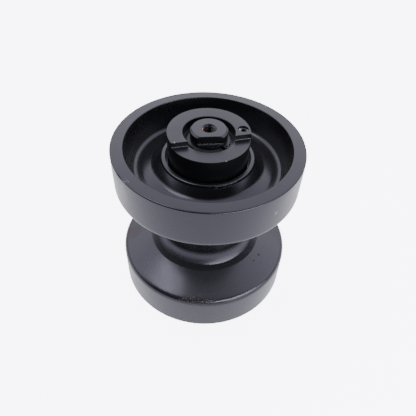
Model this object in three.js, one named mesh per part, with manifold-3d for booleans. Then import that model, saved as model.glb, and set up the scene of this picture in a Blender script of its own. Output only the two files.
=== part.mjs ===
// A track roller for a rubber-tracked loader: a spool of two dished wheels that spins on a fixed shaft, with a
// flanged bush, a metal face seal, a collar and a snap ring at each end.
// Units are millimetres. The roller's axis is Z and the origin is on it, midway between the two wheels.
// Every piece of an end is drawn once, for the upper end, and the lower end is the same piece turned over.
// A profile is a list of [radius, height] points, with the height measured from the middle of the roller.
import * as THREE from 'three';
import { mergeVertices } from 'three/addons/utils/BufferGeometryUtils.js';
import Module from 'manifold-3d';

const wasm = await Module();
wasm.setup();

// Driving dimensions

const GAP = 0.3; // between pieces that touch
const WHEEL_RADIUS = 110;
const RIM = 105; // height of the wheel's outer face
const RIM_INNER = 95.5; // radius where the rim's face ends and the dish begins
const TREAD_END = 59.1; // height where the tread turns into the shoulder
const SHOULDER_RADIUS = 6.5;
const NECK_RADIUS = 57;
const WELD_DEPTH = 6; // of the groove that the weld fills
const MOUTH_RADIUS = 49.2; // bore of the shell's mouth, round the collar
const LIP = 88; // height of the mouth's edge
const LIP_RADIUS = 54; // outside of the mouth's edge

const SEAL_PLANE = 81; // height where the two seal rings meet
const SEAL_BORE = 33;
const SEAL_FLANGE = 39.5; // outer radius of a seal ring where it meets its twin
const SEAL_TAIL = 36; // outer radius of a seal ring at its far end
const SEAL_LENGTH = 9;
const TORIC_ORBIT = 39.4; // radius of the middle of the rubber ring's section
const TORIC_OFFSET = 7; // height of that middle from the seal plane
const POCKET_RADIUS = 41; // a seal pocket at its floor
const POCKET_MOUTH = 43.5;
const POCKET_DEPTH = 9.5; // of a seal pocket's conical part

const COLLAR_RADIUS = 46.5;
const COLLAR_FACE = 120;
const COLLAR_SKIRT = SEAL_PLANE - 2.8; // height of the collar's inner end
const STEP_LAND = 113.5; // height of the collar's low land, and of the ledge under the shaft's flat
const STEP_WALL = 13.5; // distance of the collar's step from the axis
const COUNTERBORE_RADIUS = 29.4;
const COUNTERBORE_FLOOR = 107.5;
const NOSE_RADIUS = 30.5; // the part of the collar that reaches the shaft's shoulder

const SHAFT_END = 124;
const JOURNAL_RADIUS = 25; // the shaft inside the bushes
const END_RADIUS = 21; // the shaft inside the collars
const FLAT = 15.5; // distance of the shaft's flat from the axis
const TAP_RADIUS = 7; // tap drill of the mounting thread, M16
const TAP_DEPTH = 38;

const BUSH_OUTER = 30;
const BUSH_FLANGE = 35;
const BUSH_INNER_END = 20;
const BUSH_SEAT = 65; // height of the seat under the bush's flange
const BUSH_FACE = 69; // height of the flange's thrust face

const RING_THICKNESS = 2.5; // snap ring
const O_RING_HEIGHT = 98.5;
const PLUG_HOLE_RADIUS = 6;
const PLUG_HOLE_FLOOR = 104;
const PLUG_TOP = COLLAR_FACE - 2.6;
const PLUG_ORBIT = 38.5; // distance of the fill plug from the axis
const PLUG_ANGLE = THREE.MathUtils.degToRad(-4.5);

// The collars turn on the shaft, and the snap rings in their grooves. These are the turns as they stand.
const COLLAR_TURN = { upper: THREE.MathUtils.degToRad(8.4), lower: 0 };
const RING_TURN = { upper: THREE.MathUtils.degToRad(-52), lower: THREE.MathUtils.degToRad(-90) };

const FACETS = { shell: 40, collar: 40, shaft: 36, seal: 32, rubber: 24, plug: 16 };

// Materials

const material = (color, roughness, metalness) => new THREE.MeshStandardMaterial({ color, roughness, metalness });
const blackPaint = material(0x2b2b30, 0.42, 0.0);
const springSteel = material(0x3a3a3c, 0.5, 0.6);
const bronze = material(0xb08d57, 0.38, 1.0);
const sealIron = material(0x7d8084, 0.25, 1.0);
const rubber = material(0x1a1a1a, 0.7, 0.0);

// Shape helpers

// Points of an arc about [r, h], from one angle to another in degrees, both ends included.
function arc(r, h, radius, from, to, steps) {
  return Array.from({ length: steps + 1 }, (_, i) => {
    const angle = THREE.MathUtils.degToRad(from + ((to - from) * i) / steps);
    return [r + radius * Math.cos(angle), h + radius * Math.sin(angle)];
  });
}

// A solid of revolution about Z from a profile that starts and ends on the axis, or closes on itself.
function revolve(profile, facets) {
  const points = profile.map(([r, h]) => new THREE.Vector2(r, h));
  if (THREE.ShapeUtils.area(points) < 0) points.reverse();
  const onAxis = points[0].x === 0;
  if (!onAxis) points.push(points[0].clone());
  return new THREE.LatheGeometry(points, facets).rotateX(Math.PI / 2);
}

function solidOf(geometry) {
  const bare = geometry.clone();
  bare.deleteAttribute('normal');
  bare.deleteAttribute('uv');
  const merged = mergeVertices(bare, 1e-4);
  return new wasm.Manifold(
    new wasm.Mesh({
      numProp: 3,
      vertProperties: merged.attributes.position.array,
      triVerts: new Uint32Array(merged.index.array),
    }),
  );
}

function geometryOf(solid) {
  const { vertProperties, triVerts } = solid.getMesh();
  const geometry = new THREE.BufferGeometry();
  geometry.setAttribute('position', new THREE.BufferAttribute(vertProperties, 3));
  geometry.setIndex(new THREE.BufferAttribute(triVerts, 1));
  geometry.computeVertexNormals();
  return geometry;
}

function cut(geometry, ...tools) {
  const whole = tools.reduce((solid, tool) => solid.subtract(solidOf(tool)), solidOf(geometry));
  return geometryOf(whole);
}

// A block that fills the -Y side of the plane y = -distance, from the height low upwards.
function frontBlock(distance, low) {
  const size = 2 * WHEEL_RADIUS;
  return new THREE.BoxGeometry(size, size, size).translate(0, -distance - size / 2, low + size / 2);
}

// A round bar or hole of one radius between two points of the X-Z plane.
function rod(radius, [x0, z0], [x1, z1], facets) {
  const length = Math.hypot(x1 - x0, z1 - z0);
  return new THREE.CylinderGeometry(radius, radius, length, facets)
    .rotateX(Math.PI / 2)
    .rotateY(Math.atan2(x1 - x0, z1 - z0))
    .translate((x0 + x1) / 2, 0, (z0 + z1) / 2);
}

function piece(name, geometry, finish) {
  const mesh = new THREE.Mesh(geometry, finish);
  mesh.name = name;
  return mesh;
}

// The roller that spins

// One forged and turned half of the spool: wheel, web, hub and half of the neck.
function shellHalf() {
  const oilBore = BUSH_OUTER - 1.5;
  const bushBore = BUSH_OUTER + GAP;
  const flangeBore = BUSH_FLANGE + GAP;
  const pocketFloor = BUSH_SEAT + 2.5;
  return revolve(
    [
      [oilBore, GAP / 2],
      [oilBore, BUSH_INNER_END],
      [bushBore, BUSH_INNER_END],
      [bushBore, BUSH_SEAT],
      [flangeBore, BUSH_SEAT],
      [flangeBore, pocketFloor],
      [POCKET_RADIUS, pocketFloor],
      [POCKET_MOUTH, pocketFloor + POCKET_DEPTH],
      [MOUTH_RADIUS, pocketFloor + POCKET_DEPTH],
      [MOUTH_RADIUS, LIP],
      [LIP_RADIUS - 1.2, LIP],
      [LIP_RADIUS, LIP - 1.2],
      ...arc(69.5, 85.2, 10, 220, 258, 2), // root of the hub
      ...arc(82.8, 77.6, 6, 254, 346, 3), // root of the rim
      [RIM_INNER - 0.2, RIM - 0.8],
      [RIM_INNER + 0.6, RIM],
      [WHEEL_RADIUS - 1, RIM],
      [WHEEL_RADIUS, RIM - 1],
      ...arc(WHEEL_RADIUS - SHOULDER_RADIUS, TREAD_END, SHOULDER_RADIUS, 0, -67, 3),
      [73, 39], // foot of the flank
      [63.7, 38.7], // flat ring round the neck
      ...arc(84.5, 20.6, 27.5, 140, 180, 3), // root of the neck
      [NECK_RADIUS, WELD_DEPTH / 2],
      [NECK_RADIUS - WELD_DEPTH, GAP / 2],
    ],
    FACETS.shell,
  );
}

// The weld that joins the two halves, in the groove round the middle of the neck.
function weldBead() {
  const halfWidth = WELD_DEPTH / 2 - 0.5;
  const crown = NECK_RADIUS + 0.5;
  return revolve(
    [
      [NECK_RADIUS - WELD_DEPTH + 0.6, 0],
      [NECK_RADIUS - 0.2, -halfWidth],
      [crown, 0],
      [NECK_RADIUS - 0.2, halfWidth],
    ],
    FACETS.shell,
  );
}

// A flanged bush. Its flange takes the thrust against the nose of the collar.
function bush() {
  const bore = JOURNAL_RADIUS + GAP;
  return revolve(
    [
      [bore, BUSH_INNER_END + GAP],
      [BUSH_OUTER, BUSH_INNER_END + GAP],
      [BUSH_OUTER, BUSH_SEAT + GAP],
      [BUSH_FLANGE, BUSH_SEAT + GAP],
      [BUSH_FLANGE, BUSH_FACE],
      [bore, BUSH_FACE],
    ],
    FACETS.seal,
  );
}

// A face seal's metal ring, on the outer side of the seal plane (+1) or on the inner side (-1).
function sealRing(side) {
  const face = SEAL_PLANE + (side * GAP) / 2;
  return revolve(
    [
      [SEAL_BORE, face],
      [SEAL_FLANGE, face],
      [SEAL_FLANGE, face + side * 2.4],
      [SEAL_TAIL, face + side * 3.2],
      [SEAL_TAIL, face + side * SEAL_LENGTH],
      [SEAL_BORE, face + side * SEAL_LENGTH],
    ],
    FACETS.seal,
  );
}

// The rubber ring that presses a seal ring against its twin.
function toric(side) {
  const sectionRadius = 2.4;
  return revolve(arc(TORIC_ORBIT, SEAL_PLANE + side * TORIC_OFFSET, sectionRadius, 0, 300, 5), FACETS.rubber);
}

// The shaft and its snap rings

// One end of the shaft's profile, from the bottom of the tapped hole out to the journal.
function shaftEnd() {
  const countersink = 1.3;
  const chamfer = 2.1;
  const drillPoint = 4;
  const grooveRadius = END_RADIUS - 1.4;
  const grooveTop = COUNTERBORE_FLOOR + RING_THICKNESS + 2 * GAP;
  const shoulder = BUSH_FACE + 0.1;
  return [
    [0, SHAFT_END - TAP_DEPTH - drillPoint],
    [TAP_RADIUS, SHAFT_END - TAP_DEPTH],
    [TAP_RADIUS, SHAFT_END - countersink],
    [TAP_RADIUS + countersink, SHAFT_END],
    [END_RADIUS - chamfer, SHAFT_END],
    [END_RADIUS, SHAFT_END - chamfer],
    [END_RADIUS, grooveTop],
    [grooveRadius, grooveTop],
    [grooveRadius, COUNTERBORE_FLOOR],
    [END_RADIUS, COUNTERBORE_FLOOR],
    [END_RADIUS, shoulder],
    [JOURNAL_RADIUS, shoulder],
  ];
}

function shaft() {
  const lowerEnd = shaftEnd().map(([r, h]) => [r, -h]);
  const whole = revolve([...shaftEnd(), ...lowerEnd.reverse()], FACETS.shaft);
  const flatCut = frontBlock(FLAT, STEP_LAND);
  return cut(whole, flatCut, flatCut.clone().rotateY(Math.PI));
}

// An open ring with an eared end each side of its gap, which faces +X. It sits in the shaft's groove and holds
// the collar on.
function snapRing() {
  const inner = END_RADIUS - 0.9;
  const outer = END_RADIUS + 3.4;
  const earOrbit = END_RADIUS + 2.7;
  const earRadius = 2.9;
  const earHole = 1.2;
  const earAngle = THREE.MathUtils.degToRad(12);
  const [earX, earY] = [earOrbit * Math.cos(earAngle), earOrbit * Math.sin(earAngle)];
  const quarter = Math.PI / 2;
  const outline = new THREE.Shape();
  outline.absarc(0, 0, outer, 2 * earAngle, -2 * earAngle, false);
  outline.absarc(earX, -earY, earRadius, -earAngle, quarter - earAngle, false);
  outline.absarc(0, 0, inner, -earAngle / 2, earAngle / 2, true);
  outline.absarc(earX, earY, earRadius, earAngle - quarter, earAngle, false);
  const ring = new THREE.ExtrudeGeometry(outline, {
    depth: RING_THICKNESS,
    bevelEnabled: false,
    curveSegments: FACETS.plug,
  });
  const holes = [1, -1].map((side) =>
    rod(earHole, [0, -1], [0, RING_THICKNESS + 1], FACETS.plug / 2).translate(earX, side * earY, 0),
  );
  return cut(ring, ...holes).translate(0, 0, COUNTERBORE_FLOOR + GAP);
}

// The collar and what it carries

// The collar: a cap with a stepped face, a counterbore for the snap ring, a pocket for the seal and a nose that
// reaches the shaft's shoulder. Its step faces -Y.
function collar() {
  const bore = END_RADIUS + GAP;
  const edge = 0.6;
  const noseEnd = BUSH_FACE + 0.4;
  const pocketFloor = 93;
  const grooveDepth = 3.3; // the O-ring's
  const grooveHalf = 2.5;
  const oilWayRadius = 2;
  const whole = revolve(
    [
      [bore, noseEnd],
      [NOSE_RADIUS, noseEnd],
      [NOSE_RADIUS, pocketFloor],
      [POCKET_RADIUS, pocketFloor],
      [POCKET_MOUTH, pocketFloor - POCKET_DEPTH],
      [POCKET_MOUTH, COLLAR_SKIRT],
      [COLLAR_RADIUS, COLLAR_SKIRT],
      [COLLAR_RADIUS, COLLAR_FACE - edge],
      [COLLAR_RADIUS - edge, COLLAR_FACE],
      [COUNTERBORE_RADIUS + 1, COLLAR_FACE],
      [COUNTERBORE_RADIUS, COLLAR_FACE - 1],
      [COUNTERBORE_RADIUS, COUNTERBORE_FLOOR],
      [bore, COUNTERBORE_FLOOR],
      [bore, O_RING_HEIGHT + grooveHalf],
      [bore + grooveDepth, O_RING_HEIGHT + grooveHalf],
      [bore + grooveDepth, O_RING_HEIGHT - grooveHalf],
      [bore, O_RING_HEIGHT - grooveHalf],
    ],
    FACETS.collar,
  );
  const plugHole = rod(PLUG_HOLE_RADIUS, [PLUG_ORBIT, PLUG_HOLE_FLOOR], [PLUG_ORBIT, SHAFT_END], FACETS.plug);
  const oilWayTop = [PLUG_ORBIT - 1, PLUG_HOLE_FLOOR + 2];
  const oilWayEnd = [NOSE_RADIUS + 2.5, pocketFloor - 2];
  const oilWay = rod(oilWayRadius, oilWayTop, oilWayEnd, FACETS.plug / 2);
  return cut(whole, frontBlock(STEP_WALL, STEP_LAND), plugHole.rotateZ(PLUG_ANGLE), oilWay.rotateZ(PLUG_ANGLE));
}

// The fill plug, sunk in the collar's high land, with a hexagonal socket.
function fillPlug() {
  const socketFlats = 5; // across flats
  const socketDepth = 5;
  const radius = PLUG_HOLE_RADIUS - GAP;
  const body = rod(radius, [PLUG_ORBIT, PLUG_HOLE_FLOOR + GAP], [PLUG_ORBIT, PLUG_TOP], FACETS.plug);
  const corner = socketFlats / Math.sqrt(3);
  const socket = rod(corner, [PLUG_ORBIT, PLUG_TOP - socketDepth], [PLUG_ORBIT, PLUG_TOP + 1], 6);
  return cut(body, socket).rotateZ(PLUG_ANGLE);
}

// The rubber ring that seals the collar on the shaft.
function collarORing() {
  const sectionRadius = 1.4;
  return revolve(arc(END_RADIUS + 1.95, O_RING_HEIGHT, sectionRadius, 0, 288, 4), FACETS.rubber);
}

// Assembly

function rollerPieces(end) {
  return [
    piece('shell_half_' + end, shellHalf(), blackPaint),
    piece('bush_' + end, bush(), bronze),
    piece('rotating_seal_ring_' + end, sealRing(-1), sealIron),
    piece('rotating_toric_' + end, toric(-1), rubber),
  ];
}

function collarGroup(end) {
  const group = new THREE.Group();
  group.add(
    piece('collar_' + end, collar(), blackPaint),
    piece('fill_plug_' + end, fillPlug(), blackPaint),
    piece('fixed_seal_ring_' + end, sealRing(1), sealIron),
    piece('fixed_toric_' + end, toric(1), rubber),
    piece('collar_o_ring_' + end, collarORing(), rubber),
  );
  group.rotation.z = COLLAR_TURN[end];
  return group;
}

function snapRingPiece(end) {
  const mesh = piece('snap_ring_' + end, snapRing(), springSteel);
  mesh.rotation.z = RING_TURN[end];
  return mesh;
}

const roller = new THREE.Group();
for (const end of ['upper', 'lower']) {
  const half = new THREE.Group();
  half.add(...rollerPieces(end), collarGroup(end), snapRingPiece(end));
  if (end === 'lower') half.rotation.y = Math.PI;
  roller.add(half);
}
roller.add(piece('shell_weld', weldBead(), blackPaint), piece('shaft', shaft(), blackPaint));

export default roller;
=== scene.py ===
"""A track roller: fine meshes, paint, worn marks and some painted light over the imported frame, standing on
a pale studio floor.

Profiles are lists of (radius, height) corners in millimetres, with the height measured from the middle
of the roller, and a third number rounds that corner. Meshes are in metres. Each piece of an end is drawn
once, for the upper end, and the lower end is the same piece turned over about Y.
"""
import math

import bmesh
import bpy
from mathutils import Matrix, Vector


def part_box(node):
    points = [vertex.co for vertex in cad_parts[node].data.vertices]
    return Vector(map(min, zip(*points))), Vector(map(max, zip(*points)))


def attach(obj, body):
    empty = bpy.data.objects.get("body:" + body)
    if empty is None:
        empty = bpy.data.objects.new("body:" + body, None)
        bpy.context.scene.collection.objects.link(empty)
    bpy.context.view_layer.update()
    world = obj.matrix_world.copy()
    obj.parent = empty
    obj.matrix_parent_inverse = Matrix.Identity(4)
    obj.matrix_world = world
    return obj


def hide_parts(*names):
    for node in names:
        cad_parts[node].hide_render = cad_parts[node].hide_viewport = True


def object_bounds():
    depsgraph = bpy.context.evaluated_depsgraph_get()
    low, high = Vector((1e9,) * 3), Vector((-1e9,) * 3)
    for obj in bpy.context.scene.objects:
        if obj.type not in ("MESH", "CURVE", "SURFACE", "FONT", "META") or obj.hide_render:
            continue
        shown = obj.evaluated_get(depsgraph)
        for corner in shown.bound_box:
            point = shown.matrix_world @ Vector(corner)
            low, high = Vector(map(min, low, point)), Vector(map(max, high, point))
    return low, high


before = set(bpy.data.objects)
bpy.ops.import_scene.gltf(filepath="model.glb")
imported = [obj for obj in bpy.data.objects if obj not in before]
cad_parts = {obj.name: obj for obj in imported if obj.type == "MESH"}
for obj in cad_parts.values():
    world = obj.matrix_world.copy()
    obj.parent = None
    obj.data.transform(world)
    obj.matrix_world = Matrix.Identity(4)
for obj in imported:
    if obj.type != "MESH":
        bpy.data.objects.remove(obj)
cad_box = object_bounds()

MM = 0.001
END_TURN = {"upper": Matrix.Identity(4), "lower": Matrix.Rotation(math.pi, 4, "Y")}
COLLAR_TURN = {"upper": math.radians(8.4), "lower": 0.0}
RING_TURN = {"upper": math.radians(-52), "lower": math.radians(-90)}
CAMERA_TURN = Matrix.Rotation(math.radians(-7), 3, "Z")
ALONG_X = Matrix(((0, 0, 1, 0), (1, 0, 0, 0), (0, 1, 0, 0), (0, 0, 0, 1)))  # lays a prism along X

# Driving dimensions. The outer ones are read from the frame.
WHEEL_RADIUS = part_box("shell_half_upper")[1].x / MM
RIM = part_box("shell_half_upper")[1].z / MM
SHAFT_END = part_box("shaft")[1].z / MM
JOURNAL_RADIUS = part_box("shaft")[1].x / MM
COLLAR_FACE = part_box("collar_upper")[1].z / MM
NOSE_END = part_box("collar_upper")[0].z / MM
COLLAR_RADIUS = 46.5
RIM_INNER = 95.5
NECK_RADIUS = 57
WELD_DEPTH = 6
LIP = 88
LIP_RADIUS = 54
MOUTH_RADIUS = 49.2
SEAL_PLANE = 81
STEP_LAND = 113.5
STEP_WALL = 13.5
COUNTERBORE_RADIUS = 29.4
COUNTERBORE_FLOOR = 107.5
END_RADIUS = 21
FLAT = 15.5
THREAD_CREST = 7
THREAD_ROOT = 8.2
THREAD_PITCH = 2
THREAD_DEPTH = 36
PLUG_ORBIT = 38.5
PLUG_ANGLE = math.radians(-4.5)
PLUG_HOLE = 6
PLUG_FLOOR = 104
PLUG_TOP = COLLAR_FACE - 1.6
BUSH_OUTER = 30
BUSH_FLANGE = 35
BUSH_STOP = 20
BUSH_SEAT = 65
BUSH_FACE = 69
GAP = 0.3


# ------------------------------------------------------------------ mesh helpers

def rounded_corner(before, corner, after, radius, steps=6):
    """The points of the arc that rounds a corner between two straight runs."""
    towards_before = (Vector(before[:2]) - Vector(corner[:2])).normalized()
    towards_after = (Vector(after[:2]) - Vector(corner[:2])).normalized()
    half = towards_before.angle(towards_after) / 2
    bisector = (towards_before + towards_after).normalized()
    centre = Vector(corner[:2]) + bisector * radius / math.sin(half)
    reach = radius / math.tan(half)
    first = Vector(corner[:2]) + towards_before * reach - centre
    last = Vector(corner[:2]) + towards_after * reach - centre
    turn = math.atan2(first.cross(last), first.dot(last))
    return [tuple(centre + Matrix.Rotation(turn * i / steps, 2) @ first) for i in range(steps + 1)]


def outline(corners, longest=4.0):
    """A closed outline with its corners rounded and its straight runs cut no longer than asked."""
    points = []
    for i, corner in enumerate(corners):
        if len(corner) == 3:
            points += rounded_corner(corners[i - 1], corner, corners[(i + 1) % len(corners)], corner[2])
        else:
            points.append(tuple(corner))
    dense = []
    for start, end in zip(points, points[1:] + points[:1]):
        cuts = max(1, math.ceil(math.dist(start, end) / longest))
        dense += [tuple(Vector(start).lerp(Vector(end), k / cuts)) for k in range(cuts)]
    return dense


def arc(radius, height, size, start, end, steps):
    """Points of an arc about (radius, height), from one angle to another in degrees."""
    angles = [math.radians(start + (end - start) * i / steps) for i in range(steps + 1)]
    return [(radius + size * math.cos(a), height + size * math.sin(a)) for a in angles]


def mesh_from(bm, name):
    bmesh.ops.remove_doubles(bm, verts=bm.verts, dist=1e-7)
    bmesh.ops.recalc_face_normals(bm, faces=bm.faces)
    mesh = bpy.data.meshes.new(name)
    bm.to_mesh(mesh)
    bm.free()
    return mesh


def revolve(name, points, segments, shape=None):
    """A mesh turned about Z from a closed outline. shape(angle, radius, height) may move each point."""
    bm = bmesh.new()
    rings = []
    for radius, height in points:
        ring = []
        for k in range(segments):
            angle = 2 * math.pi * k / segments
            r, h = shape(angle, radius, height) if shape else (radius, height)
            ring.append(bm.verts.new((r * math.cos(angle) * MM, r * math.sin(angle) * MM, h * MM)))
        rings.append(ring)
    for here, there in zip(rings, rings[1:] + rings[:1]):
        for k in range(segments):
            after = (k + 1) % segments
            bm.faces.new((here[k], here[after], there[after], there[k]))
    return mesh_from(bm, name)


def extrude(name, points, low, high):
    """A prism between two heights from an outline of (x, y) points in millimetres."""
    bm = bmesh.new()
    base = bm.faces.new([bm.verts.new((x * MM, y * MM, low * MM)) for x, y in points])
    top = bmesh.ops.extrude_face_region(bm, geom=[base])["geom"]
    bmesh.ops.translate(bm, verts=[v for v in top if isinstance(v, bmesh.types.BMVert)],
                        vec=(0, 0, (high - low) * MM))
    return mesh_from(bm, name)


def circle(radius, centre=(0, 0), count=64, start=0.0):
    angles = [start + 2 * math.pi * k / count for k in range(count)]
    return [(centre[0] + radius * math.cos(a), centre[1] + radius * math.sin(a)) for a in angles]


def scratch_object(mesh):
    piece = bpy.data.objects.new(mesh.name, mesh)
    bpy.context.scene.collection.objects.link(piece)
    return piece


def baked(mesh, cutters=(), bevel=0.0, angle=35):
    """The mesh with the cutters taken away and its sharp edges rounded."""
    piece = scratch_object(mesh)
    tools = [scratch_object(cutter) for cutter in cutters]
    for tool in tools:
        cut = piece.modifiers.new("cut", "BOOLEAN")
        cut.object = tool
        cut.operation = "DIFFERENCE"
        cut.solver = "EXACT"
    if bevel:
        edge = piece.modifiers.new("edge", "BEVEL")
        edge.width = bevel * MM
        edge.segments = 3
        edge.limit_method = "ANGLE"
        edge.angle_limit = math.radians(angle)
    graph = bpy.context.evaluated_depsgraph_get()
    result = bpy.data.meshes.new_from_object(piece.evaluated_get(graph))
    result.name = mesh.name
    for spare in [piece, *tools]:
        bpy.data.objects.remove(spare)
    return result


def joined(name, meshes):
    bm = bmesh.new()
    for mesh in meshes:
        bm.from_mesh(mesh)
    return mesh_from(bm, name)


def place(mesh, node, body, finish, turn=Matrix.Identity(4)):
    """Stands a copy of the mesh in for a CAD node, riding on its body."""
    own = mesh.copy()
    own.transform(turn)
    own.shade_smooth()
    own.set_sharp_from_angle(angle=math.radians(40))
    own.materials.clear()
    own.materials.append(finish)
    piece = bpy.data.objects.new(node + "_finished", own)
    bpy.context.scene.collection.objects.link(piece)
    weighted = piece.modifiers.new("flats", "WEIGHTED_NORMAL")
    weighted.keep_sharp = True
    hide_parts(node)
    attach(piece, body)
    return piece


# ------------------------------------------------------------------ the spool

def shell_half():
    """Wheel, web, hub and half of the neck."""
    inner_wall = BUSH_OUTER - 1.5
    seal_pocket = 67.5
    mouth_floor = 77
    floor_slope = -0.29
    crease = 76.6  # a faint turned ring in the dish's floor
    crease_height = 79 + (crease - 57.3) * floor_slope
    ring_inner = 63.7
    ring_outer = 73
    ring_height = 38.6
    points = outline([
        (inner_wall, GAP / 2),
        (inner_wall, BUSH_STOP),
        (BUSH_OUTER + GAP, BUSH_STOP),
        (BUSH_OUTER + GAP, BUSH_SEAT),
        (BUSH_FLANGE + GAP, BUSH_SEAT),
        (BUSH_FLANGE + GAP, seal_pocket),
        (41, seal_pocket, 0.8),
        (43.5, mouth_floor, 0.5),
        (MOUTH_RADIUS, mouth_floor, 0.4),
        (MOUTH_RADIUS, LIP, 0.6),
        (LIP_RADIUS, LIP, 2.3),
        (LIP_RADIUS + 0.8, LIP - 2.8, 0.8),
        (64, 76.1, 10),  # root of the hub
        (crease - 0.3, crease_height + 0.06),
        (crease, crease_height - 0.15),
        (87.1, 70.1, 6),  # root of the rim
        (RIM_INNER, RIM, 1.0),
        (WHEEL_RADIUS, RIM, 1.7),
        (WHEEL_RADIUS, 54.8, 8.5),  # shoulder
        (ring_outer, ring_height + 0.4, 0.4),
        (ring_outer - 0.4, ring_height + 0.15),
        (ring_inner, ring_height, 0.5),
        *arc(84.5, 20.6, 27.5, 140, 180, 14),  # root of the neck
        (NECK_RADIUS, WELD_DEPTH / 2 + 0.6),
        (NECK_RADIUS - WELD_DEPTH, GAP / 2),
    ])
    return revolve("shell_half", points, 480)


def weld_bead():
    """A weld laid round the neck in overlapping ripples."""
    ripples = 110

    def ripple(angle, radius, height):
        lift = max(0.0, radius - NECK_RADIUS + 0.5)
        slanted = angle * ripples + height * 0.5
        return radius + 0.25 * lift * math.sin(slanted), height

    points = outline([
        (NECK_RADIUS - WELD_DEPTH + 0.6, 0),
        (NECK_RADIUS - 0.3, -WELD_DEPTH / 2 + 0.3, 0.4),
        (NECK_RADIUS + 0.45, 0, 3),
        (NECK_RADIUS - 0.3, WELD_DEPTH / 2 - 0.3, 0.4),
    ], longest=1.0)
    return revolve("shell_weld", points, 660, ripple)


def bush():
    bore = JOURNAL_RADIUS + GAP
    points = outline([
        (bore, BUSH_STOP + GAP, 0.5),
        (BUSH_OUTER, BUSH_STOP + GAP, 0.8),
        (BUSH_OUTER, BUSH_SEAT + GAP, 0.3),
        (BUSH_FLANGE, BUSH_SEAT + GAP, 0.4),
        (BUSH_FLANGE, BUSH_FACE, 0.6),
        (bore, BUSH_FACE, 0.8),
    ])
    return revolve("bush", points, 160)


def seal_ring(side):
    """A face seal's metal ring, outside the seal plane (+1) or inside it (-1)."""
    face = SEAL_PLANE + side * GAP / 2
    points = outline([
        (33, face, 0.2),
        (39.5, face, 0.2),
        (39.5, face + side * 2.4, 0.4),
        (36.6, face + side * 3.4, 0.6),
        (36, face + side * 9, 0.5),
        (33, face + side * 9, 0.3),
    ], longest=2.0)
    return revolve("seal_ring", points, 160)


def toric(side):
    return revolve("toric", arc(39.4, SEAL_PLANE + side * 7, 2.4, 0, 345, 23), 160)


# ------------------------------------------------------------------ the shaft

def shaft_blank():
    shoulder = BUSH_FACE + 0.1
    groove_top = COUNTERBORE_FLOOR + 3.1
    upper = [
        (0, SHAFT_END - 42),
        (THREAD_ROOT, SHAFT_END - 38),
        (THREAD_ROOT, SHAFT_END - 0.1),
        (THREAD_ROOT + 0.1, SHAFT_END),
        (END_RADIUS - 2.1, SHAFT_END),
        (END_RADIUS, SHAFT_END - 2.1),
        (END_RADIUS, groove_top),
        (END_RADIUS - 1.4, groove_top),
        (END_RADIUS - 1.4, COUNTERBORE_FLOOR),
        (END_RADIUS, COUNTERBORE_FLOOR),
        (END_RADIUS, shoulder),
        (JOURNAL_RADIUS - 0.8, shoulder),
        (JOURNAL_RADIUS, shoulder - 0.8),
    ]
    return revolve("shaft", upper + [(r, -h) for r, h in reversed(upper)], 192)


def ledge_cutter(name, wall, foot_radius, size):
    """The block that leaves a flat wall and the ledge under it, with a small radius between them."""
    top = STEP_LAND + 20
    foot = arc(-wall - foot_radius, STEP_LAND + foot_radius, foot_radius, 270, 360, 6)
    side = [(-wall, top), *reversed(foot), (-size, STEP_LAND), (-size, top)]
    block = extrude(name, side, -size, size)
    block.transform(ALONG_X)
    return block


def tapped_thread():
    """The thread in the shaft's end: a sleeve whose inner wall is a helix, cut back by the countersink."""
    root = THREAD_ROOT - 0.05
    mouth = SHAFT_END - 0.1
    rings_per_turn = 10

    def helix(angle, radius, height):
        if radius > THREAD_ROOT:
            return radius, height
        turn = (height / THREAD_PITCH - angle / (2 * math.pi)) % 1
        ridge = max(0.0, 1 - abs(turn - 0.5) * 2.4)
        wall = root - (root - THREAD_CREST) * min(1.0, ridge * 1.25)
        countersink = THREAD_ROOT - 0.02 - max(0.0, mouth - height)
        return max(wall, countersink), height

    rings = THREAD_DEPTH * rings_per_turn // THREAD_PITCH
    inner = [(THREAD_ROOT - 0.1, mouth - i * THREAD_PITCH / rings_per_turn) for i in range(rings)]
    back = THREAD_ROOT + 0.6
    return revolve("thread", inner + [(back, inner[-1][1]), (back, SHAFT_END - 0.4)], 96, helix)


def shaft():
    lower_turn = END_TURN["lower"]
    cutters = [ledge_cutter("flat_cutter", FLAT, 1.6, 60) for _ in END_TURN]
    cutters[1].transform(lower_turn)
    body = baked(shaft_blank(), cutters, bevel=0.35)
    threads = [tapped_thread(), tapped_thread()]
    threads[1].transform(lower_turn)
    return joined("shaft", [body, *threads])


def snap_ring():
    """An open ring with an eared end each side of its gap, which faces +X."""
    inner = END_RADIUS - 0.9
    outer = END_RADIUS + 3.4
    ear_orbit = END_RADIUS + 2.7
    ear_radius = 2.9
    ear_angle = 12
    ear = [(ear_orbit * math.cos(math.radians(a)), ear_orbit * math.sin(math.radians(a)))
           for a in (-ear_angle, ear_angle)]
    points = [
        *arc(0, 0, outer, 2 * ear_angle, 360 - 2 * ear_angle, 96),
        *arc(*ear[0], ear_radius, -ear_angle, 90 - ear_angle, 8),
        *arc(0, 0, inner, 360 - ear_angle / 2, ear_angle / 2, 96),
        *arc(*ear[1], ear_radius, ear_angle - 90, ear_angle, 8),
    ]
    low = COUNTERBORE_FLOOR + GAP
    holes = [extrude("ear_hole", circle(1.2, centre, 24), low - 1, low + 4) for centre in ear]
    return baked(extrude("snap_ring", points, low, low + 2.5), holes, bevel=0.2)


# ------------------------------------------------------------------ the collars

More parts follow.
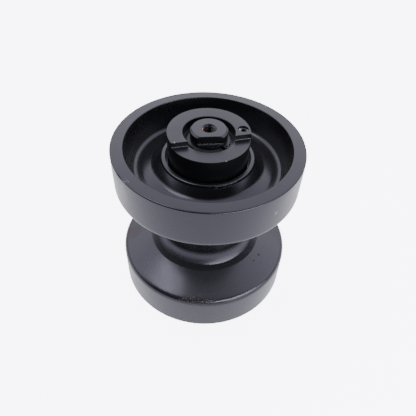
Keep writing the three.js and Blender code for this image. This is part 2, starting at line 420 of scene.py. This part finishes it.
def collar_blank():
    bore = END_RADIUS + GAP
    skirt = SEAL_PLANE - 2.8
    return revolve("collar", outline([
        (bore, NOSE_END),
        (30.5, NOSE_END),
        (30.5, 93, 1.0),
        (41, 93, 1.0),
        (43.5, 83.5),
        (43.5, skirt),
        (COLLAR_RADIUS, skirt),
        (COLLAR_RADIUS, COLLAR_FACE),
        (COUNTERBORE_RADIUS + 1.4, COLLAR_FACE),
        (COUNTERBORE_RADIUS, COLLAR_FACE - 0.5),
        (COUNTERBORE_RADIUS, COUNTERBORE_FLOOR, 0.6),
        (bore, COUNTERBORE_FLOOR),
        (bore, 101),
        (bore + 3.3, 101, 0.4),
        (bore + 3.3, 96, 0.4),
        (bore, 96),
    ], longest=60), 192)


def plug_centre():
    return (PLUG_ORBIT * math.cos(PLUG_ANGLE), PLUG_ORBIT * math.sin(PLUG_ANGLE))


def collar():
    hole = extrude("plug_hole", circle(PLUG_HOLE, plug_centre(), 48), PLUG_FLOOR, SHAFT_END)
    step = ledge_cutter("step_cutter", STEP_WALL, 1.2, 80)
    return baked(collar_blank(), [step, hole], bevel=0.5)


def fill_plug():
    """A sunk plug with a hexagonal socket."""
    across_flats = 5
    socket_depth = 5
    body = extrude("fill_plug", circle(PLUG_HOLE - GAP, plug_centre(), 48), PLUG_FLOOR + GAP, PLUG_TOP)
    hexagon = circle(across_flats / math.sqrt(3), plug_centre(), 6)
    socket = extrude("socket", hexagon, PLUG_TOP - socket_depth, PLUG_TOP + 1)
    return baked(body, [socket], bevel=0.3)


def collar_o_ring():
    return revolve("collar_o_ring", arc(END_RADIUS + 1.95, 98.5, 1.4, 0, 340, 17), 128)


# ------------------------------------------------------------------ materials

def node_maker(tree):
    """A function that adds a node to the tree, with a link or a value for each socket that it names."""
    def node(kind, links=None, **settings):
        made = tree.nodes.new(kind)
        for key, value in settings.items():
            setattr(made, key, value)
        for socket, value in (links or {}).items():
            if isinstance(value, bpy.types.NodeSocket):
                tree.links.new(value, made.inputs[socket])
            else:
                made.inputs[socket].default_value = value
        return made

    return node


def shader(name):
    """A new material, its node tree, its Principled node and the function that adds its nodes."""
    material = bpy.data.materials.new(name)
    material.use_nodes = True
    tree = material.node_tree
    return material, tree, tree.nodes["Principled BSDF"], node_maker(tree)


def ramp(node, value, start, end, low=0.0, high=1.0):
    """A socket that goes from low to high while the value goes from start to end."""
    return node("ShaderNodeMapRange", {"Value": value, "From Min": start, "From Max": end,
                                       "To Min": low, "To Max": high}).outputs["Result"]


def product(node, first, second):
    return node("ShaderNodeMath", {0: first, 1: second}, operation="MULTIPLY").outputs["Value"]


def patch(node, place_in, centre, reach, ragged=0.5):
    """A mask that is 1 inside a patch and 0 outside it, with a ragged edge.

    The centre is (radius, degrees round the axis, height). The reach is in depth, round the part and
    up it. Also gives the coordinates inside the patch, which run from -1 to 1.
    """
    radius, degrees, height = centre
    turn = math.radians(degrees)
    middle = (radius * math.cos(turn) * MM, radius * math.sin(turn) * MM, height * MM)
    local = node("ShaderNodeMapping", {
        "Vector": place_in,
        "Location": middle,
        "Rotation": (0, 0, turn),
        "Scale": tuple(size * MM for size in reach),
    }, vector_type="TEXTURE").outputs["Vector"]
    away = node("ShaderNodeVectorMath", {0: local}, operation="LENGTH").outputs["Value"]
    waver = node("ShaderNodeTexNoise", {"Vector": local, "Scale": 2.5, "Detail": 4.0}).outputs["Fac"]
    edge = node("ShaderNodeMath", {0: waver, 1: ragged, 2: away}, operation="MULTIPLY_ADD").outputs["Value"]
    mask = ramp(node, edge, 0.75 + ragged / 2, 1.0 + ragged / 2, 1.0, 0.0)
    return mask, local


def flakes(node, mask, local, stretch, threshold):
    """The mask broken up into flakes, which can be stretched along the patch's own directions."""
    drawn = node("ShaderNodeVectorMath", {0: local, 1: stretch}, operation="MULTIPLY").outputs["Vector"]
    grain = node("ShaderNodeTexNoise", {"Vector": drawn, "Scale": 1.0, "Detail": 5.0}).outputs["Fac"]
    return product(node, mask, ramp(node, grain, threshold, threshold + 0.05))


def shell_wear_and_highlight(node, place_in, cover):
    """Marks that handling left on the spool, and one painted highlight on the lower shoulder."""
    scuff, inside = patch(node, place_in, (110, -149, 85), (6, 9, 14))
    cover(flakes(node, scuff, inside, (1, 9, 0.9), 0.53), (0.26, 0.26, 0.27), 0.45)
    chip, inside = patch(node, place_in, (107.5, -146, 105), (3, 5, 2))
    cover(flakes(node, chip, inside, (4, 4, 4), 0.6), (0.35, 0.35, 0.36), 0.5)
    dent, _ = patch(node, place_in, (110, -152, 104.6), (1.6, 7, 1.2))
    cover(dent, (0.003, 0.003, 0.003), 0.8)
    nick, inside = patch(node, place_in, (110, -56, 82), (3, 2.4, 3.2), ragged=0.25)
    cover(flakes(node, nick, inside, (1, 2.5, 2.5), 0.53), (0.22, 0.22, 0.23), 0.45)

    rub, inside = patch(node, place_in, (108.5, -100, -53), (8, 30, 6.5), ragged=0.9)
    cover(flakes(node, rub, inside, (5, 14, 4), 0.4), (0.002, 0.0015, 0.0015), 0.42)
    cover(flakes(node, rub, inside, (7, 30, 9), 0.61), (0.24, 0.21, 0.20), 0.5)
    flecks, inside = patch(node, place_in, (110, -107, -66), (4, 14, 4.5))
    cover(flakes(node, flecks, inside, (2, 14, 5), 0.6), (0.002, 0.002, 0.002), 0.35)
    # Painted highlight: a small light grey spot on the lower wheel's shoulder.
    spot, _ = patch(node, place_in, (110, -69.7, -52), (2, 1.3, 1.0))
    cover(spot, (0.4, 0.4, 0.41), 0.5)
    specks = ((82.4, -36, -43, 1.6), (82.1, -44.6, -43, 1.2), (90, -41, -46, 0.8))
    for radius, degrees, height, size in specks:
        speck, _ = patch(node, place_in, (radius, degrees, height), (size, size, size))
        cover(speck, (0.002, 0.002, 0.002), 0.8)
    blush, _ = patch(node, place_in, (98, 176, -50), (18, 12, 12), ragged=1.4)
    cover(blush, (0.014, 0.007, 0.008), None)


def collar_wear(node, place_in, cover):
    """Chipped corners of the collar's step."""
    chips = ((42.9, -154.6, 119.8, 0.8), (46.4, -72.5, 113.3, 0.6),
             (45.8, -21, 119.8, 0.5), (45.9, -163, 113.4, 0.7))
    for radius, degrees, height, size in chips:
        chip, _ = patch(node, place_in, (radius, degrees, height), (size, 1.5 * size, size), ragged=0.8)
        cover(chip, (0.25, 0.25, 0.26), 0.5)


def shaft_wear(node, place_in, cover):
    """Rust inside the mouths of the tapped holes."""
    for height in (121.3, -121.3):
        rust, inside = patch(node, place_in, (7.3, 180, height), (1.6, 6.5, 2.4), ragged=0.6)
        cover(rust, (0.42, 0.12, 0.04), 0.7)
        cover(flakes(node, rust, inside, (2, 4, 2), 0.5), (0.60, 0.24, 0.07), 0.7)


def plug_chips_and_painted_light(node, place_in, cover):
    """Marks on the plug: a darker patch on its outer side is painted shadow, and lighter flakes on its inner
    side and outer rim are painted glints, the inner ones also paint lost down to bare metal.
    """
    # Painted shadow: a darker, duller patch on the plug's outer side.
    painted_shadow, _ = patch(node, place_in, (40.6, 4, 118.4), (3.6, 4.5, 2.5), ragged=0.9)
    cover(painted_shadow, (0.0015, 0.0015, 0.0015), 0.7)
    # Painted glint, partly a chip: lighter flakes on the plug's inner side.
    chip_and_glint, inside = patch(node, place_in, (35.8, 6.5, 118.4), (2.2, 4.0, 2.5), ragged=0.8)
    cover(flakes(node, chip_and_glint, inside, (2.6, 2.6, 2.6), 0.5), (0.32, 0.32, 0.33), 0.4)
    # Painted highlight: lighter flakes along the plug's outer rim.
    edge, inside = patch(node, place_in, (43.4, 2, 118.4), (1.2, 3.0, 2.0), ragged=0.7)
    cover(flakes(node, edge, inside, (2, 2, 2), 0.5), (0.3, 0.3, 0.31), 0.4)


def lighter_lower_faces_and_neck_sheen(node, place_in, cover):
    """Lighter colour on the lower wheel's upward faces, and a painted sheen on the neck's flare."""
    facing = node("ShaderNodeSeparateXYZ", {0: node("ShaderNodeNewGeometry").outputs["Normal"]}).outputs["Z"]
    height = node("ShaderNodeSeparateXYZ", {0: place_in}).outputs["Z"]
    flat = ramp(node, facing, 0.6, 0.9)
    below_neck = ramp(node, height, -0.034, -0.038)
    # Lighter colour on the upward faces below the neck.
    cover(product(node, flat, below_neck), (0.018, 0.018, 0.021), None)
    painted_sheen_facing = ramp(node, facing, 0.1, 0.55)
    over_ring = node("ShaderNodeMath", {0: height, 1: -0.0381}, operation="GREATER_THAN").outputs["Value"]
    under_middle = node("ShaderNodeMath", {0: height, 1: 0.0}, operation="LESS_THAN").outputs["Value"]
    # Painted reflection: a lighter, rougher band on the neck's flare.
    cover(product(node, painted_sheen_facing, product(node, over_ring, under_middle)), (0.020, 0.020, 0.024), 0.33)


def enamel(name, base=(0.003, 0.003, 0.0037), roughness=0.24, wear_and_painted_light=()):
    """Satin black enamel over turned metal: orange peel, a mottled gloss, tiny specks, and the marks passed
    to it, which on the shell and plug include painted highlights, shadow and sheen.
    """
    material, tree, principled, node = shader(name)
    place_in = node("ShaderNodeTexCoord").outputs["Object"]
    peel = node("ShaderNodeTexNoise", {"Vector": place_in, "Scale": 420.0, "Detail": 2.0}).outputs["Fac"]
    cloud = node("ShaderNodeTexNoise", {"Vector": place_in, "Scale": 38.0, "Detail": 4.0}).outputs["Fac"]
    bump = node("ShaderNodeBump", {"Height": peel, "Strength": 0.06, "Distance": 0.00006}).outputs["Normal"]
    paler = [1.3 * channel for channel in base]
    mottle = node("ShaderNodeMix", {0: cloud, 6: (*base, 1), 7: (*paler, 1)}, data_type="RGBA")
    layers = {"colour": mottle.outputs[2],
              "roughness": ramp(node, cloud, 0.3, 0.7, roughness - 0.03, roughness + 0.05)}

    def cover(mask, colour, rough):
        layers["colour"] = node("ShaderNodeMix", {0: mask, 6: layers["colour"], 7: (*colour, 1)},
                                data_type="RGBA").outputs[2]
        if rough is not None:
            layers["roughness"] = node("ShaderNodeMix", {0: mask, 2: layers["roughness"],
                                                         3: rough}).outputs[0]

    cells = node("ShaderNodeTexVoronoi", {"Vector": place_in, "Scale": 130.0}).outputs["Distance"]
    cover(ramp(node, cells, 0.025, 0.05, 0.25, 0.0), (0.12, 0.12, 0.12), 0.5)
    for layer in wear_and_painted_light:
        layer(node, place_in, cover)
    tree.links.new(layers["colour"], principled.inputs["Base Color"])
    tree.links.new(layers["roughness"], principled.inputs["Roughness"])
    tree.links.new(bump, principled.inputs["Normal"])
    principled.inputs["IOR"].default_value = 1.5
    principled.inputs["Specular Tint"].default_value = (0.82, 0.81, 1.0, 1)
    return material


def bare_metal(name, colour, roughness):
    """Turned bare metal with fine rings left by the tool."""
    material, tree, principled, node = shader(name)
    place_in = node("ShaderNodeTexCoord").outputs["Object"]
    rings = node("ShaderNodeTexWave", {"Vector": place_in, "Scale": 900.0, "Distortion": 1.5, "Detail": 2.0},
                 wave_type="RINGS", rings_direction="Z").outputs["Fac"]
    stain = node("ShaderNodeTexNoise", {"Vector": place_in, "Scale": 60.0, "Detail": 5.0}).outputs["Fac"]
    tint = node("ShaderNodeMix", {"Factor": stain, 6: (*colour, 1), 7: (*[c * 0.7 for c in colour], 1)},
                data_type="RGBA")
    bump = node("ShaderNodeBump", {"Height": rings, "Strength": 0.2, "Distance": 0.00003})
    tree.links.new(tint.outputs[2], principled.inputs["Base Color"])
    tree.links.new(bump.outputs["Normal"], principled.inputs["Normal"])
    principled.inputs["Metallic"].default_value = 1.0
    principled.inputs["Roughness"].default_value = roughness
    return material


def rubber(name):
    material, tree, principled, node = shader(name)
    place_in = node("ShaderNodeTexCoord").outputs["Object"]
    grain = node("ShaderNodeTexNoise", {"Vector": place_in, "Scale": 900.0, "Detail": 3.0}).outputs["Fac"]
    bump = node("ShaderNodeBump", {"Height": grain, "Strength": 0.3, "Distance": 0.00005})
    tree.links.new(bump.outputs["Normal"], principled.inputs["Normal"])
    principled.inputs["Base Color"].default_value = (0.012, 0.012, 0.012, 1)
    principled.inputs["Roughness"].default_value = 0.6
    return material


# ------------------------------------------------------------------ the studio

def camera():
    """Looks down on the roller from the front, a little turned and tilted, as the photographer held it."""
    turn, tilt, roll = math.radians(-7.462), math.radians(90 - 45.721), math.radians(2.883)
    eye = CAMERA_TURN @ Vector((0, -0.3757, 0.3848))
    data = bpy.data.cameras.new("camera")
    data.lens = 35.66
    data.clip_start = 0.01
    holder = bpy.data.objects.new("camera", data)
    bpy.context.scene.collection.objects.link(holder)
    holder.matrix_world = (Matrix.Translation(eye) @ Matrix.Rotation(turn, 4, "Z")
                           @ Matrix.Rotation(tilt, 4, "X") @ Matrix.Rotation(roll, 4, "Z"))
    bpy.context.scene.camera = holder


def softbox(name, azimuth, elevation, width, height, watts):
    """A soft light that faces the roller. Azimuth 0 is the camera's side and 90 its right."""
    distance = 1.5
    a = math.radians(azimuth)
    e = math.radians(elevation)
    towards = Vector((math.sin(a) * math.cos(e), -math.cos(a) * math.cos(e), math.sin(e)))
    spot = CAMERA_TURN @ towards * distance
    data = bpy.data.lights.new(name, "AREA")
    data.shape = "RECTANGLE"
    data.size = width
    data.size_y = height
    data.energy = watts
    holder = bpy.data.objects.new(name, data)
    bpy.context.scene.collection.objects.link(holder)
    holder.location = spot
    holder.rotation_mode = "QUATERNION"
    holder.rotation_quaternion = (-spot).to_track_quat("-Z", "Y")


def backdrop():
    """White paper that glows a little, as an overlit sweep does, and looks whiter to the lens."""
    half = 6.0
    glow_on_roller = 1.42
    glow_to_lens = 8.0
    corners = ((-half, -half), (half, -half), (half, half), (-half, half))
    bm = bmesh.new()
    bm.faces.new([bm.verts.new((x, y, cad_box[0].z)) for x, y in corners])
    floor = scratch_object(mesh_from(bm, "floor"))
    material, tree, principled, node = shader("paper")
    seen = node("ShaderNodeLightPath").outputs["Is Camera Ray"]
    glow = ramp(node, seen, 0.0, 1.0, glow_on_roller, glow_to_lens)
    tree.links.new(glow, principled.inputs["Emission Strength"])
    principled.inputs["Emission Color"].default_value = (0.90, 0.89, 1.0, 1)
    principled.inputs["Base Color"].default_value = (0.4, 0.4, 0.4, 1)
    principled.inputs["Roughness"].default_value = 1.0
    principled.inputs["Specular IOR Level"].default_value = 0.0
    floor.data.materials.append(material)


def surroundings():
    """A white tent behind, beside and over the roller, open and dark on the camera's side.

    It is dim near the floor, brightest at middle height, and a little dimmer again overhead.
    """
    world = bpy.data.worlds.new("tent")
    world.use_nodes = True
    tree = world.node_tree
    node = node_maker(tree)
    sky = tree.nodes["Background"]
    direction = node("ShaderNodeTexCoord").outputs["Generated"]
    rearwards = CAMERA_TURN @ Vector((0, 1, 0))
    rear = node("ShaderNodeVectorMath", {0: direction, 1: rearwards}, operation="DOT_PRODUCT")
    opening = node("ShaderNodeMapRange", {
        "Value": rear.outputs["Value"],
        "From Min": -0.42,
        "From Max": 0.02,
        "To Min": 0.06,
        "To Max": 2.05,
    }, interpolation_type="SMOOTHSTEP").outputs["Result"]
    height = node("ShaderNodeSeparateXYZ", {0: direction}).outputs["Z"]
    skirt = ramp(node, height, 0.1, 0.5, 0.3, 1.25)
    crown = ramp(node, height, 0.62, 0.80, 1.0, 0.76)
    strength = product(node, opening, product(node, skirt, crown))
    tree.links.new(strength, sky.inputs["Strength"])
    sky.inputs["Color"].default_value = (0.98, 0.97, 1.03, 1)
    bpy.context.scene.world = world


def studio():
    backdrop()
    surroundings()
    softbox("left_softbox", azimuth=-82, elevation=63, width=0.85, height=0.5, watts=7)
    softbox("right_softbox", azimuth=38, elevation=24, width=1.4, height=0.3, watts=22)
    softbox("right_reflector", azimuth=52, elevation=7, width=1.4, height=0.35, watts=8)


# ------------------------------------------------------------------ assembly

def build():
    shell_paint = enamel("shell_enamel", wear_and_painted_light=[lighter_lower_faces_and_neck_sheen, shell_wear_and_highlight])
    collar_paint = enamel("collar_enamel", roughness=0.32, wear_and_painted_light=[collar_wear])
    shaft_paint = enamel("shaft_enamel", wear_and_painted_light=[shaft_wear])
    plug_paint = enamel("plug_enamel", wear_and_painted_light=[plug_chips_and_painted_light])
    spring_paint = enamel("spring_phosphate", base=(0.012, 0.012, 0.013), roughness=0.42)
    bronze = bare_metal("bronze", (0.55, 0.36, 0.16), 0.3)
    seal_iron = bare_metal("seal_iron", (0.42, 0.42, 0.44), 0.18)
    black_rubber = rubber("rubber")

    meshes = {
        "shell": shell_half(),
        "bush": bush(),
        "collar": collar(),
        "plug": fill_plug(),
        "ring": snap_ring(),
        "o_ring": collar_o_ring(),
        "inner_seal": seal_ring(-1),
        "outer_seal": seal_ring(1),
        "inner_toric": toric(-1),
        "outer_toric": toric(1),
    }
    for end, over in END_TURN.items():
        turned = over @ Matrix.Rotation(COLLAR_TURN[end], 4, "Z")
        collar_body = end + "_collar"
        place(meshes["shell"], "shell_half_" + end, "spool", shell_paint, over)
        place(meshes["bush"], "bush_" + end, "spool", bronze, over)
        place(meshes["inner_seal"], "rotating_seal_ring_" + end, "spool", seal_iron, over)
        place(meshes["inner_toric"], "rotating_toric_" + end, "spool", black_rubber, over)
        place(meshes["collar"], "collar_" + end, collar_body, collar_paint, turned)
        place(meshes["plug"], "fill_plug_" + end, collar_body, plug_paint, turned)
        place(meshes["outer_seal"], "fixed_seal_ring_" + end, collar_body, seal_iron, turned)
        place(meshes["outer_toric"], "fixed_toric_" + end, collar_body, black_rubber, turned)
        place(meshes["o_ring"], "collar_o_ring_" + end, collar_body, black_rubber, turned)
        place(meshes["ring"], "snap_ring_" + end, "axle", spring_paint,
              over @ Matrix.Rotation(RING_TURN[end], 4, "Z"))
    place(weld_bead(), "shell_weld", "spool", shell_paint)
    place(shaft(), "shaft", "axle", shaft_paint)


camera()
studio()
build()
